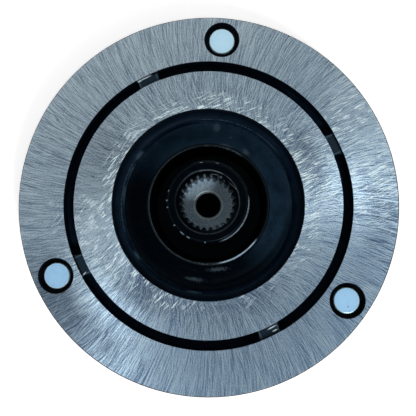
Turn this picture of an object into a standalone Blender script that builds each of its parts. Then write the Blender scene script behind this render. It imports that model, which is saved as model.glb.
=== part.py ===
"""Hub and armature plate of a belt-driven air-conditioning compressor clutch.

The part lies on its nose with the friction face up. +Z runs along the shaft towards the
compressor, and the origin is on the shaft axis at the nose. Lengths are in metres.
"""

import math

import bmesh
import bpy

MM = 0.001

# Clearance between pieces that are bonded, swaged or riveted together
SEAT_GAP = 0.3 * MM

# Splined boss that slides on to the compressor shaft
NOSE_TO_FRICTION_FACE = 14.5 * MM
BOSS_REACH = 9.0 * MM
BOSS_WALL = 3.6 * MM
BOSS_CHAMFER = 0.6 * MM
SOCKET_DEPTH = 13.0 * MM
SPLINE_TEETH = 25
SPLINE_TIP_RADIUS = 6.6 * MM
SPLINE_TOOTH_HEIGHT = 0.8 * MM
SPLINE_TIP_SHARE = 0.30
SPLINE_ROOT_SHARE = 0.32
FIRST_TOOTH_ANGLE = math.radians(3.0)
MOUTH_CHAMFER = 0.8 * MM
BOLT_HOLE_RADIUS = 3.45 * MM
BOLT_HOLE_CHAMFER = 0.65 * MM
BOLT_RECESS_RADIUS = 7.0 * MM
BOLT_RECESS_DEPTH = 2.2 * MM
SPIGOT_WALL = 1.6 * MM
SPIGOT_CHAMFER = 0.3 * MM

# Hub cup: drawn steel sleeve whose floor is swaged on to the boss
CUP_SPACE = 4.6 * MM
CUP_WALL = 1.4 * MM
CUP_FLOOR_THICKNESS = 1.9 * MM
CUP_RIM_DROP = 1.3 * MM
CUP_INNER_BEND_RADIUS = 0.9 * MM

# Rubber ring between the cup and the collar
RUBBER_THICKNESS = 6.1 * MM
RUBBER_BACK_DROP = 1.0 * MM
RUBBER_DISH_DEPTH = 4.6 * MM
RUBBER_DISH_LIP = 0.3 * MM
RUBBER_FRONT_RISE = 2.2 * MM
RUBBER_FRONT_DISH = 0.8 * MM
RUBBER_SHOULDER_SHARE = 0.3

# Drive plate: pressed plate with three ears and a drawn collar round the rubber
PLATE_THICKNESS = 2.6 * MM
PLATE_COVER = 1.6 * MM
EAR_MARGIN = 1.4 * MM
EAR_BLEND_RADIUS = 28.0 * MM
COLLAR_WALL = 2.0 * MM
COLLAR_END_RISE = 1.5 * MM
COLLAR_BEND_RADIUS = 2.2 * MM
COLLAR_ROOT_RADIUS = 0.6 * MM
COLLAR_END_CHAMFER = 0.4 * MM

# Armature plate: ground steel ring with four slots that guide the magnetic flux
ARMATURE_THICKNESS = 5.0 * MM
ARMATURE_CHAMFER = 0.35 * MM
BORE_STEP = 2.4 * MM
INNER_POLE_WIDTH = 10.7 * MM
SLOT_WIDTH = 2.8 * MM
OUTER_POLE_WIDTH = 12.4 * MM
SLOT_END_RADIUS = 0.6 * MM
BRIDGE_COUNT = 4
BRIDGE_WIDTH = 5.5 * MM
BRIDGE_DROP = 1.2 * MM
BRIDGE_WALL_STEP = 0.08 * MM
FIRST_BRIDGE_ANGLE = math.radians(25.6)

# Rivets that hold the armature plate to the drive plate
RIVET_COUNT = 3
FIRST_RIVET_ANGLE = math.radians(85.2)
RIVET_SHANK_RADIUS = 2.4 * MM
RIVET_HEAD_OVERHANG = 1.2 * MM
RIVET_HEAD_THICKNESS = 1.4 * MM
RIVET_HEAD_DROP = 1.35 * MM
RIVET_HEAD_CHAMFER = 0.2 * MM
RIVET_TAIL_OVERHANG = 1.8 * MM
RIVET_TAIL_HEIGHT = 1.8 * MM
RIVET_DOME_SHARE = 0.75
COUNTERBORE_CLEARANCE = 1.2 * MM
COUNTERBORE_CHAMFER = 0.15 * MM

# Fineness of round work
RING_SEGMENTS = 120
PLATE_SEGMENTS = 84
HUB_SEGMENTS = 60
RIVET_SEGMENTS = 36
BEND_STEPS = 4
DISH_STEPS = 7
SLOT_STEPS = 26
CORNER_SHARES = (0.33, 0.67, 1.0)
OVERCUT = 1.0 * MM
CONE_OVERCUT = 0.3 * MM

# Radii that follow, from the spline outwards
SPLINE_ROOT_RADIUS = SPLINE_TIP_RADIUS + SPLINE_TOOTH_HEIGHT
SOCKET_MOUTH_RADIUS = SPLINE_ROOT_RADIUS + MOUTH_CHAMFER
BOSS_RADIUS = SPLINE_ROOT_RADIUS + BOSS_WALL
SPIGOT_RADIUS = BOLT_RECESS_RADIUS + SPIGOT_WALL
CUP_INNER_RADIUS = BOSS_RADIUS + CUP_SPACE
CUP_OUTER_RADIUS = CUP_INNER_RADIUS + CUP_WALL
RUBBER_INNER_RADIUS = CUP_OUTER_RADIUS + SEAT_GAP
RUBBER_OUTER_RADIUS = RUBBER_INNER_RADIUS + RUBBER_THICKNESS
COLLAR_INNER_RADIUS = RUBBER_OUTER_RADIUS + SEAT_GAP
COLLAR_OUTER_RADIUS = COLLAR_INNER_RADIUS + COLLAR_WALL
ARMATURE_BORE_RADIUS = COLLAR_INNER_RADIUS + BORE_STEP
SLOT_INNER_RADIUS = ARMATURE_BORE_RADIUS + INNER_POLE_WIDTH
SLOT_OUTER_RADIUS = SLOT_INNER_RADIUS + SLOT_WIDTH
ARMATURE_RADIUS = SLOT_OUTER_RADIUS + OUTER_POLE_WIDTH
RIVET_CIRCLE_RADIUS = (SLOT_OUTER_RADIUS + ARMATURE_RADIUS) / 2.0
RIVET_HEAD_RADIUS = RIVET_SHANK_RADIUS + RIVET_HEAD_OVERHANG
RIVET_TAIL_RADIUS = RIVET_SHANK_RADIUS + RIVET_TAIL_OVERHANG
RIVET_HOLE_RADIUS = RIVET_SHANK_RADIUS + SEAT_GAP
COUNTERBORE_RADIUS = RIVET_HEAD_RADIUS + COUNTERBORE_CLEARANCE
PLATE_RADIUS = SLOT_OUTER_RADIUS + PLATE_COVER
EAR_RADIUS = RIVET_TAIL_RADIUS + EAR_MARGIN

# Heights that follow, from the nose upwards
FRICTION_Z = NOSE_TO_FRICTION_FACE
ARMATURE_FRONT_Z = FRICTION_Z - ARMATURE_THICKNESS
PLATE_BACK_Z = ARMATURE_FRONT_Z - SEAT_GAP
PLATE_FRONT_Z = PLATE_BACK_Z - PLATE_THICKNESS
RIVET_HEAD_TOP_Z = FRICTION_Z - RIVET_HEAD_DROP
RIVET_HEAD_BASE_Z = RIVET_HEAD_TOP_Z - RIVET_HEAD_THICKNESS
COUNTERBORE_FLOOR_Z = RIVET_HEAD_BASE_Z - SEAT_GAP
RIVET_TAIL_TOP_Z = PLATE_FRONT_Z - SEAT_GAP
RIVET_TAIL_END_Z = RIVET_TAIL_TOP_Z - RIVET_TAIL_HEIGHT
CUP_RIM_Z = FRICTION_Z - CUP_RIM_DROP
BOSS_END_Z = FRICTION_Z + BOSS_REACH
BOSS_SHOULDER_Z = CUP_FLOOR_THICKNESS + SEAT_GAP
SPIGOT_END_Z = SEAT_GAP
SOCKET_FLOOR_Z = BOSS_END_Z - SOCKET_DEPTH
BOLT_SEAT_Z = SPIGOT_END_Z + BOLT_RECESS_DEPTH


def clear_scene():
    """Remove whatever the file holds."""
    for obj in list(bpy.data.objects):
        bpy.data.objects.remove(obj, do_unlink=True)


def arc(centre, radius, start_degrees, end_degrees, steps):
    """Points of an arc in a plane, both ends included."""
    points = []
    for step in range(steps + 1):
        angle = math.radians(start_degrees + (end_degrees - start_degrees) * step / steps)
        points.append((centre[0] + radius * math.cos(angle), centre[1] + radius * math.sin(angle)))
    return points


def polar(radius, angle):
    """The point at this radius and angle in plan."""
    return (radius * math.cos(angle), radius * math.sin(angle))


def add_object(name, mesh_builder):
    """Turn a filled bmesh into an object with outward faces."""
    bmesh.ops.recalc_face_normals(mesh_builder, faces=mesh_builder.faces)
    mesh = bpy.data.meshes.new(name)
    mesh_builder.to_mesh(mesh)
    mesh_builder.free()
    obj = bpy.data.objects.new(name, mesh)
    bpy.context.scene.collection.objects.link(obj)
    return obj


def turned(name, profile, segments):
    """Revolve a closed (radius, height) profile about the Z axis."""
    mesh_builder = bmesh.new()
    verts = [mesh_builder.verts.new((radius, 0.0, height)) for radius, height in profile]
    edges = []
    for first, second in zip(verts, verts[1:] + verts[:1]):
        on_axis = first.co.x == 0.0 and second.co.x == 0.0
        if not on_axis:
            edges.append(mesh_builder.edges.new((first, second)))
    bmesh.ops.spin(
        mesh_builder,
        geom=verts + edges,
        cent=(0.0, 0.0, 0.0),
        axis=(0.0, 0.0, 1.0),
        angle=2.0 * math.pi,
        steps=segments,
        use_merge=True,
    )
    bmesh.ops.remove_doubles(mesh_builder, verts=mesh_builder.verts, dist=1e-7)
    return add_object(name, mesh_builder)


def prism(name, outline, low, high):
    """Extrude a plan outline from one height to another."""
    mesh_builder = bmesh.new()
    verts = [mesh_builder.verts.new((x, y, low)) for x, y in outline]
    base = mesh_builder.faces.new(verts)
    raised = bmesh.ops.extrude_face_region(mesh_builder, geom=[base])["geom"]
    moved = [item for item in raised if isinstance(item, bmesh.types.BMVert)]
    bmesh.ops.translate(mesh_builder, verts=moved, vec=(0.0, 0.0, high - low))
    return add_object(name, mesh_builder)


def combine(obj, tool, operation="DIFFERENCE"):
    """Apply a hidden tool body to the object with a Boolean modifier."""
    modifier = obj.modifiers.new(tool.name, "BOOLEAN")
    modifier.operation = operation
    modifier.solver = "EXACT"
    modifier.object = tool
    tool.hide_render = True
    tool.display_type = "WIRE"


def smooth(obj, sharp_degrees=30.0):
    """Shade the round faces smooth and keep the machined edges."""
    obj.data.shade_smooth()
    obj.data.set_sharp_from_angle(angle=math.radians(sharp_degrees))


def finish(obj, name, colour, roughness, metallic):
    """Give the object its own surface."""
    material = bpy.data.materials.new(name)
    material.use_nodes = True
    shader = material.node_tree.nodes["Principled BSDF"]
    shader.inputs["Base Color"].default_value = (*colour, 1.0)
    shader.inputs["Roughness"].default_value = roughness
    shader.inputs["Metallic"].default_value = metallic
    obj.data.materials.clear()
    obj.data.materials.append(material)


def rivet_angles():
    """Angles of the equally spaced rivets."""
    return [FIRST_RIVET_ANGLE + 2.0 * math.pi * index / RIVET_COUNT for index in range(RIVET_COUNT)]


def slot_outline(start, end):
    """Plan of one banana slot between two angles, with rounded corners."""
    corner = min(SLOT_END_RADIUS, 0.45 * SLOT_WIDTH)
    walls = (
        (SLOT_INNER_RADIUS, start, end, 1.0),
        (SLOT_OUTER_RADIUS, end, start, -1.0),
    )
    points = []
    for radius, first, last, inward in walls:
        trim = math.copysign(corner / radius, last - first)
        for step in range(SLOT_STEPS + 1):
            angle = first + trim + (last - first - 2.0 * trim) * step / SLOT_STEPS
            points.append(polar(radius, angle))
        for share in CORNER_SHARES:
            turn = math.pi / 2.0 * share
            swing = trim * (math.sin(turn) - 1.0)
            points.append(polar(radius + inward * corner * (1.0 - math.cos(turn)), last + swing))
    return points


def bridge_outline(middle, half_angle):
    """Plan of the shallow pocket over one bridge, just narrower than the slots."""
    inner = SLOT_INNER_RADIUS + BRIDGE_WALL_STEP
    outer = SLOT_OUTER_RADIUS - BRIDGE_WALL_STEP
    first = math.degrees(middle - half_angle)
    last = math.degrees(middle + half_angle)
    points = arc((0.0, 0.0), inner, first, last, BEND_STEPS)
    return points + arc((0.0, 0.0), outer, last, first, BEND_STEPS)


def cut_slots(plate):
    """Cut the slots right through, then sink the bridges that part them."""
    middle_radius = (SLOT_INNER_RADIUS + SLOT_OUTER_RADIUS) / 2.0
    half_bridge = BRIDGE_WIDTH / middle_radius / 2.0
    half_pocket = half_bridge + 2.0 * SLOT_END_RADIUS / middle_radius
    pitch = 2.0 * math.pi / BRIDGE_COUNT
    low = ARMATURE_FRONT_Z - OVERCUT
    high = FRICTION_Z + OVERCUT
    for index in range(BRIDGE_COUNT):
        bridge = FIRST_BRIDGE_ANGLE + index * pitch
        slot = slot_outline(bridge + half_bridge, bridge + pitch - half_bridge)
        combine(plate, prism(f"slot_tool_{index + 1}", slot, low, high))
        pocket = bridge_outline(bridge, half_pocket)
        combine(plate, prism(f"bridge_tool_{index + 1}", pocket, FRICTION_Z - BRIDGE_DROP, high))


def cut_rivet_holes(plate, index, angle):
    """Cut one stepped rivet hole with a broken edge at its mouth."""
    hole = RIVET_HOLE_RADIUS
    mouth = COUNTERBORE_RADIUS + COUNTERBORE_CHAMFER + OVERCUT
    profile = [
        (0.0, ARMATURE_FRONT_Z - OVERCUT),
        (hole, ARMATURE_FRONT_Z - OVERCUT),
        (hole, COUNTERBORE_FLOOR_Z),
        (COUNTERBORE_RADIUS, COUNTERBORE_FLOOR_Z),
        (COUNTERBORE_RADIUS, FRICTION_Z - COUNTERBORE_CHAMFER),
        (mouth, FRICTION_Z + OVERCUT),
        (0.0, FRICTION_Z + OVERCUT),
    ]
    tool = turned(f"rivet_hole_tool_{index + 1}", profile, RIVET_SEGMENTS)
    tool.location = (*polar(RIVET_CIRCLE_RADIUS, angle), 0.0)
    combine(plate, tool)


def build_armature_plate():
    """Ground ring with broken edges, slots, bridges and counterbored rivet holes."""
    edge = ARMATURE_CHAMFER
    profile = [
        (ARMATURE_BORE_RADIUS, ARMATURE_FRONT_Z + edge),
        (ARMATURE_BORE_RADIUS + edge, ARMATURE_FRONT_Z),
        (ARMATURE_RADIUS - edge, ARMATURE_FRONT_Z),
        (ARMATURE_RADIUS, ARMATURE_FRONT_Z + edge),
        (ARMATURE_RADIUS, FRICTION_Z - edge),
        (ARMATURE_RADIUS - edge, FRICTION_Z),
        (ARMATURE_BORE_RADIUS + edge, FRICTION_Z),
        (ARMATURE_BORE_RADIUS, FRICTION_Z - edge),
    ]
    plate = turned("armature_plate", profile, RING_SEGMENTS)
    cut_slots(plate)
    for index, angle in enumerate(rivet_angles()):
        cut_rivet_holes(plate, index, angle)
    finish(plate, "ground_steel", (0.21, 0.30, 0.39), 0.36, 1.0)
    smooth(plate)
    return plate


def plate_outline():
    """Plan of the drive plate: a circle with an ear at each rivet, blended by arcs."""
    blend_reach = PLATE_RADIUS + EAR_BLEND_RADIUS
    ear_reach = EAR_RADIUS + EAR_BLEND_RADIUS
    cosine = blend_reach**2 + RIVET_CIRCLE_RADIUS**2 - ear_reach**2
    cosine /= 2.0 * blend_reach * RIVET_CIRCLE_RADIUS
    spread = math.degrees(math.acos(cosine))
    blend_x, blend_y = polar(blend_reach, math.radians(spread))
    lean = math.degrees(math.atan2(blend_y, blend_x - RIVET_CIRCLE_RADIUS))
    points = []
    for angle in rivet_angles():
        ear = math.degrees(angle)
        before = polar(blend_reach, math.radians(ear - spread))
        after = polar(blend_reach, math.radians(ear + spread))
        centre = polar(RIVET_CIRCLE_RADIUS, angle)
        points += arc(before, EAR_BLEND_RADIUS, ear - spread + 180.0, ear - lean + 180.0, 8)[:-1]
        points += arc(centre, EAR_RADIUS, ear - lean, ear + lean, 12)[:-1]
        points += arc(after, EAR_BLEND_RADIUS, ear + lean - 180.0, ear + spread - 180.0, 8)[:-1]
        gap = 360.0 / RIVET_COUNT - 2.0 * spread
        points += arc((0.0, 0.0), PLATE_RADIUS, ear + spread, ear + spread + gap, 14)[:-1]
    return points


def build_drive_plate():
    """Pressed plate: flat three-eared flange and a collar drawn towards the nose."""
    inner = COLLAR_INNER_RADIUS
    outer = COLLAR_OUTER_RADIUS
    rim = RIVET_CIRCLE_RADIUS + EAR_RADIUS + OVERCUT
    bend = COLLAR_BEND_RADIUS
    root = COLLAR_ROOT_RADIUS
    edge = COLLAR_END_CHAMFER
    profile = arc((inner + bend, PLATE_BACK_Z - bend), bend, 180.0, 90.0, BEND_STEPS)
    profile += [(rim, PLATE_BACK_Z), (rim, PLATE_FRONT_Z)]
    profile += arc((outer + root, PLATE_FRONT_Z - root), root, 90.0, 180.0, BEND_STEPS)
    profile += [
        (outer, COLLAR_END_RISE + edge),
        (outer - edge, COLLAR_END_RISE),
        (inner + edge, COLLAR_END_RISE),
        (inner, COLLAR_END_RISE + edge),
    ]
    plate = turned("drive_plate", profile, PLATE_SEGMENTS)
    low = COLLAR_END_RISE - OVERCUT
    high = PLATE_BACK_Z + OVERCUT
    combine(plate, prism("drive_plate_outline", plate_outline(), low, high), "INTERSECT")
    hole = [
        (0.0, PLATE_FRONT_Z - OVERCUT),
        (RIVET_HOLE_RADIUS, PLATE_FRONT_Z - OVERCUT),
        (RIVET_HOLE_RADIUS, PLATE_BACK_Z + OVERCUT),
        (0.0, PLATE_BACK_Z + OVERCUT),
    ]
    for index, angle in enumerate(rivet_angles()):
        tool = turned(f"plate_hole_tool_{index + 1}", hole, RIVET_SEGMENTS)
        tool.location = (*polar(RIVET_CIRCLE_RADIUS, angle), 0.0)
        combine(plate, tool)
    finish(plate, "black_coat", (0.010, 0.014, 0.019), 0.38, 0.0)
    smooth(plate)
    return plate


def build_rivet(index, angle):
    """Rivet with a flat head below the friction face and a domed tail at the front."""
    edge = RIVET_HEAD_CHAMFER
    tail = RIVET_TAIL_HEIGHT
    crown = RIVET_TAIL_RADIUS
    dome = RIVET_DOME_SHARE * tail
    profile = [(0.0, RIVET_TAIL_END_Z), (crown - dome, RIVET_TAIL_END_Z)]
    profile += arc((crown - dome, RIVET_TAIL_END_Z + dome), dome, -90.0, 0.0, BEND_STEPS)[1:]
    profile += [
        (crown, RIVET_TAIL_TOP_Z),
        (RIVET_SHANK_RADIUS, RIVET_TAIL_TOP_Z),
        (RIVET_SHANK_RADIUS, RIVET_HEAD_BASE_Z),
        (RIVET_HEAD_RADIUS, RIVET_HEAD_BASE_Z),
        (RIVET_HEAD_RADIUS, RIVET_HEAD_TOP_Z - edge),
        (RIVET_HEAD_RADIUS - edge, RIVET_HEAD_TOP_Z),
        (0.0, RIVET_HEAD_TOP_Z),
    ]
    rivet = turned(f"rivet_{index + 1}", profile, RIVET_SEGMENTS)
    rivet.location = (*polar(RIVET_CIRCLE_RADIUS, angle), 0.0)
    finish(rivet, f"plated_rivet_{index + 1}", (0.40, 0.56, 0.68), 0.32, 1.0)
    smooth(rivet)
    return rivet


def build_rubber_ring():
    """Moulded rubber ring, dished at both ends."""
    inner = RUBBER_INNER_RADIUS
    outer = RUBBER_OUTER_RADIUS
    back = CUP_RIM_Z - RUBBER_BACK_DROP
    front = RUBBER_FRONT_RISE
    shoulder = RUBBER_SHOULDER_SHARE * (outer - inner)
    profile = [(inner, front), (inner, back)]
    for step in range(1, DISH_STEPS):
        share = step / DISH_STEPS
        sink = RUBBER_DISH_DEPTH * math.sin(math.pi / 2.0 * share)
        profile.append((inner + (outer - inner) * share, back - sink))
    profile += [
        (outer, back - RUBBER_DISH_DEPTH + RUBBER_DISH_LIP),
        (outer, front),
        (outer - shoulder, front + RUBBER_FRONT_DISH),
        (inner + shoulder, front + RUBBER_FRONT_DISH),
    ]
    ring = turned("rubber_ring", profile, HUB_SEGMENTS)
    finish(ring, "damper_rubber", (0.006, 0.009, 0.012), 0.42, 0.0)
    smooth(ring)
    return ring


def build_hub_cup():
    """Drawn sleeve: round-edged wall, bent corner and a floor with a hole for the spigot."""
    inner = CUP_INNER_RADIUS
    outer = CUP_OUTER_RADIUS
    nose = CUP_WALL / 2.0
    heel = CUP_INNER_BEND_RADIUS
    bend = CUP_INNER_BEND_RADIUS + CUP_WALL
    hole = SPIGOT_RADIUS + SEAT_GAP
    profile = [(hole, 0.0)]
    profile += arc((outer - bend, bend), bend, -90.0, 0.0, BEND_STEPS)
    profile += arc((inner + nose, CUP_RIM_Z - nose), nose, 0.0, 180.0, 2 * BEND_STEPS)
    profile += arc((inner - heel, CUP_FLOOR_THICKNESS + heel), heel, 0.0, -90.0, BEND_STEPS)
    profile += [(hole, CUP_FLOOR_THICKNESS)]
    cup = turned("hub_cup", profile, HUB_SEGMENTS)
    finish(cup, "coated_steel_cup", (0.010, 0.015, 0.021), 0.30, 0.0)
    smooth(cup)
    return cup


def spline_outline():
    """Plan of the splined socket: a ring of straight-flanked teeth pointing inwards."""
    pitch = 2.0 * math.pi / SPLINE_TEETH
    tip = SPLINE_TIP_SHARE * pitch / 2.0
    root = pitch / 2.0 - SPLINE_ROOT_SHARE * pitch / 2.0
    points = []
    for tooth in range(SPLINE_TEETH):
        centre = FIRST_TOOTH_ANGLE + tooth * pitch
        points.append(polar(SPLINE_TIP_RADIUS, centre - tip))
        points.append(polar(SPLINE_TIP_RADIUS, centre + tip))
        points.append(polar(SPLINE_ROOT_RADIUS, centre + root))
        points.append(polar(SPLINE_ROOT_RADIUS, centre + pitch - root))
    return points


def build_splined_boss():
    """Turned boss with a blind splined socket, a bolt hole and a swaged spigot."""
    edge = BOSS_CHAMFER
    lip = SPIGOT_CHAMFER
    profile = [
        (BOLT_HOLE_RADIUS, BOLT_SEAT_Z),
        (BOLT_RECESS_RADIUS, BOLT_SEAT_Z),
        (BOLT_RECESS_RADIUS, SPIGOT_END_Z),
        (SPIGOT_RADIUS - lip, SPIGOT_END_Z),
        (SPIGOT_RADIUS, SPIGOT_END_Z + lip),
        (SPIGOT_RADIUS, BOSS_SHOULDER_Z),
        (BOSS_RADIUS, BOSS_SHOULDER_Z),
        (BOSS_RADIUS, BOSS_END_Z - edge),
        (BOSS_RADIUS - edge, BOSS_END_Z),
        (BOLT_HOLE_RADIUS, BOSS_END_Z),
    ]
    boss = turned("splined_boss", profile, HUB_SEGMENTS)
    socket = prism("socket_tool", spline_outline(), SOCKET_FLOOR_Z, BOSS_END_Z + OVERCUT)
    combine(boss, socket)
    mouth_slope = SOCKET_MOUTH_RADIUS - SPLINE_TIP_RADIUS + CONE_OVERCUT
    mouth = [
        (0.0, BOSS_END_Z - mouth_slope),
        (SOCKET_MOUTH_RADIUS - mouth_slope, BOSS_END_Z - mouth_slope),
        (SOCKET_MOUTH_RADIUS + OVERCUT, BOSS_END_Z + OVERCUT),
        (0.0, BOSS_END_Z + OVERCUT),
    ]
    combine(boss, turned("mouth_tool", mouth, HUB_SEGMENTS))
    cone_low = SOCKET_FLOOR_Z - BOLT_HOLE_CHAMFER - CONE_OVERCUT
    cone_high = SOCKET_FLOOR_Z + CONE_OVERCUT
    hole_mouth = [
        (0.0, cone_low),
        (BOLT_HOLE_RADIUS - CONE_OVERCUT, cone_low),
        (BOLT_HOLE_RADIUS + BOLT_HOLE_CHAMFER + CONE_OVERCUT, cone_high),
        (0.0, cone_high),
    ]
    combine(boss, turned("bolt_hole_chamfer_tool", hole_mouth, HUB_SEGMENTS))
    finish(boss, "coated_steel_boss", (0.008, 0.012, 0.018), 0.30, 0.0)
    smooth(boss)
    return boss


def axis_empty(name):
    """Empty on the shaft axis that carries one moving group."""
    empty = bpy.data.objects.new(name, None)
    bpy.context.scene.collection.objects.link(empty)
    empty.empty_display_size = ARMATURE_RADIUS
    return empty


def main():
    """Build the hub, the rubber ring and the armature that slides on it."""
    clear_scene()
    build_splined_boss()
    build_hub_cup()
    twist = axis_empty("rubber_wind_up")
    build_rubber_ring().parent = twist
    travel = axis_empty("armature_travel")
    travel.parent = twist
    build_drive_plate().parent = travel
    build_armature_plate().parent = travel
    for index, angle in enumerate(rivet_angles()):
        build_rivet(index, angle).parent = travel


main()
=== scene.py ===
"""Looks of a compressor clutch hub with its ground armature plate.

The part lies on its nose with the friction face up, and the camera looks down on it. The shaft
axis is Z and the origin is on it at the nose. Mesh lengths are in metres, and the sizes in the
classes are in millimetres, as on a drawing. Turns are in degrees.
"""

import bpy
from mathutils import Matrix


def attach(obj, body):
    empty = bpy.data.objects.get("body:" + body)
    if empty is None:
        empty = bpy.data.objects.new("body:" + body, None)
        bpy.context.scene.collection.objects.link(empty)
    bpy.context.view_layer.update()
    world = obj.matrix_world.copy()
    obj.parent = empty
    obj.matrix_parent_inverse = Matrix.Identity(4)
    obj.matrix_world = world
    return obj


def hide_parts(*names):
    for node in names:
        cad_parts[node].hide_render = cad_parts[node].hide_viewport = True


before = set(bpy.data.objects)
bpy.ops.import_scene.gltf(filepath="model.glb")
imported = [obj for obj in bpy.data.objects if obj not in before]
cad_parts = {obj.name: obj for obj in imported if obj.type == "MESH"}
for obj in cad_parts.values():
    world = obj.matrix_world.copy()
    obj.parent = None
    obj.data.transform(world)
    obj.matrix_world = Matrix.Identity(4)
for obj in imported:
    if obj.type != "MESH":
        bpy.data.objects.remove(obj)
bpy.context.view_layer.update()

import functools
import logging
import math
from dataclasses import dataclass, field
from enum import Enum

import bmesh
import bpy
from mathutils import Matrix, Vector

LOG = logging.getLogger("clutch_hub")
MM = 0.001
NODE_COLUMNS = 12
NODE_STEP = (190.0, 320.0)
STREAK_RADIUS = 40.0  # where the streaks have the pitch that is asked for
SMOOTH_BELOW = 60.0  # edges of new pieces that turn by less are shaded smooth

Triple = tuple[float, float, float]
Colour = Triple
Pair = tuple[float, float]
Socket = bpy.types.NodeSocket
Outputs = bpy.types.bpy_prop_collection
Feed = Socket | float | tuple[float, ...]


class Body(Enum):
    """Moving groups of the clutch hub that carry new pieces."""

    HUB = "hub"
    DAMPER = "damper"


class Slot(Enum):
    """Names of two finishes for new pieces; nothing in this script uses them."""

    DAMPER_RUBBER = "damper_rubber"
    COATED_CUP = "coated_cup"


class Sheet:
    """Lays nodes in one node tree and joins them."""

    def __init__(self, tree: bpy.types.NodeTree) -> None:
        """Take over the tree that receives the nodes."""
        self.tree = tree
        self.count = 0

    def locate(self, place: Socket) -> None:
        """Take in the place on the piece in metres, and keep it in millimetres as well."""
        self.place = place
        self.point = self.scale(place, 1.0 / MM)

    def feed(self, socket: Socket, value: Feed) -> None:
        """Join a socket to another one, or set its value.

        Args:
            socket: Input socket.
            value: Another node's output, or a plain value. A colour has three numbers.
        """
        if isinstance(value, bpy.types.NodeSocket):
            self.tree.links.new(value, socket)
        elif socket.type == "RGBA":
            socket.default_value = (*value, 1.0)
        else:
            socket.default_value = value

    def node(self, kind: str, inputs: tuple | dict = (), **settings: object) -> Outputs:
        """Place one node and feed it.

        Args:
            kind: Type name of the node.
            inputs: Values of its inputs, in order, or by their names or numbers.
            settings: Properties to set on it.

        Returns:
            The node's outputs.
        """
        node = self.tree.nodes.new(kind)
        row, column = divmod(self.count, NODE_COLUMNS)
        node.location = (column * NODE_STEP[0], -row * NODE_STEP[1])
        self.count += 1
        for name, value in settings.items():
            setattr(node, name, value)
        for key, value in inputs.items() if isinstance(inputs, dict) else enumerate(inputs):
            self.feed(node.inputs[key], value)
        return node.outputs

    def effect(self, group: bpy.types.NodeTree, **inputs: Feed) -> Outputs:
        """Place a shared effect on the piece and feed its other inputs by name."""
        return self.node("ShaderNodeGroup", {"Position": self.place} | inputs, node_tree=group)

    def math(self, operation: str, *values: Feed) -> Socket:
        """Work out one number from others."""
        return self.node("ShaderNodeMath", values, operation=operation)[0]

    def plus(self, first: Feed, second: Feed) -> Socket:
        """Add two numbers."""
        return self.math("ADD", first, second)

    def minus(self, first: Feed, second: Feed) -> Socket:
        """Take the second number from the first."""
        return self.math("SUBTRACT", first, second)

    def over(self, first: Feed, second: Feed) -> Socket:
        """Divide the first number by the second."""
        return self.math("DIVIDE", first, second)

    def off(self, value: Feed, middle: Feed) -> Socket:
        """How far a number is from a middle, on either side."""
        return self.math("ABSOLUTE", self.minus(value, middle))

    def past(self, value: Feed, limit: Feed) -> Socket:
        """How far a number is past a limit, or 0."""
        return self.math("MAXIMUM", self.minus(value, limit), 0.0)

    def times(self, *values: Feed) -> Socket:
        """Multiply numbers, or masks so that only the surface under all of them stays."""
        return functools.reduce(functools.partial(self.math, "MULTIPLY"), values)

    def either(self, *values: Feed) -> Socket:
        """Join masks, taking the strongest one at each place."""
        return functools.reduce(functools.partial(self.math, "MAXIMUM"), values)

    def total(self, *terms: tuple[Feed, Feed]) -> Socket:
        """Add up pairs of a value and its weight."""
        add = functools.partial(self.math, "MULTIPLY_ADD")
        return functools.reduce(lambda result, term: add(*term, result), terms[1:], self.times(*terms[0]))

    def scale(self, vector: Socket, factor: Feed) -> Socket:
        """Multiply a vector by a number."""
        return self.node("ShaderNodeVectorMath", {0: vector, "Scale": factor}, operation="SCALE")[0]

    def length(self, vector: Socket) -> Socket:
        """Measure a vector."""
        return self.node("ShaderNodeVectorMath", (vector,), operation="LENGTH")["Value"]

    def split(self, vector: Socket) -> Outputs:
        """Part a vector into its three numbers."""
        return self.node("ShaderNodeSeparateXYZ", (vector,))

    def join(self, *values: Feed) -> Socket:
        """Make a vector of three numbers."""
        return self.node("ShaderNodeCombineXYZ", values)[0]

    def rotated(self, place: Socket, degrees: Feed, centre: Feed = (0.0, 0.0, 0.0)) -> Socket:
        """Turn a place about an upright line through a centre."""
        inputs = {"Vector": place, "Center": centre, "Angle": self.math("RADIANS", degrees)}
        return self.node("ShaderNodeVectorRotate", inputs, rotation_type="Z_AXIS")[0]

    def ramp(self, value: Feed, low: Feed, high: Feed, start: Feed = 0.0, end: Feed = 1.0) -> Socket:
        """Map a value smoothly from one range to another, held at both ends."""
        inputs = (value, low, high, start, end)
        return self.node("ShaderNodeMapRange", inputs, interpolation_type="SMOOTHSTEP")[0]

    def share(self, value: Feed, low: float, high: float) -> Socket:
        """Map a range evenly to 0 to 1, held at both ends."""
        return self.node("ShaderNodeMapRange", (value, low, high), interpolation_type="LINEAR")[0]

    def band(self, value: Feed, low: float, high: float, fade: float) -> Socket:
        """Mask of the values between two limits, with a soft edge inside each."""
        return self.times(self.ramp(value, low, low + fade), self.ramp(value, high - fade, high, 1.0, 0.0))

    def mix(self, factor: Feed, first: Feed, second: Feed) -> Socket:
        """Mix two numbers."""
        return self.node("ShaderNodeMix", {0: factor, 2: first, 3: second}, data_type="FLOAT")[0]

    def tint(self, factor: Feed, first: Feed, second: Feed, mode: str = "MIX") -> Socket:
        """Mix two colours."""
        inputs = {0: factor, 6: first, 7: second}
        return self.node("ShaderNodeMix", inputs, data_type="RGBA", blend_type=mode)[2]

    def noise(self, place: Feed, scale: Feed, detail: float = 2.0, rough: float = 0.5) -> Socket:
        """Sample soft noise at a place."""
        inputs = {"Vector": place, "Scale": scale, "Detail": detail, "Roughness": rough}
        return self.node("ShaderNodeTexNoise", inputs)["Fac"]

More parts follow.
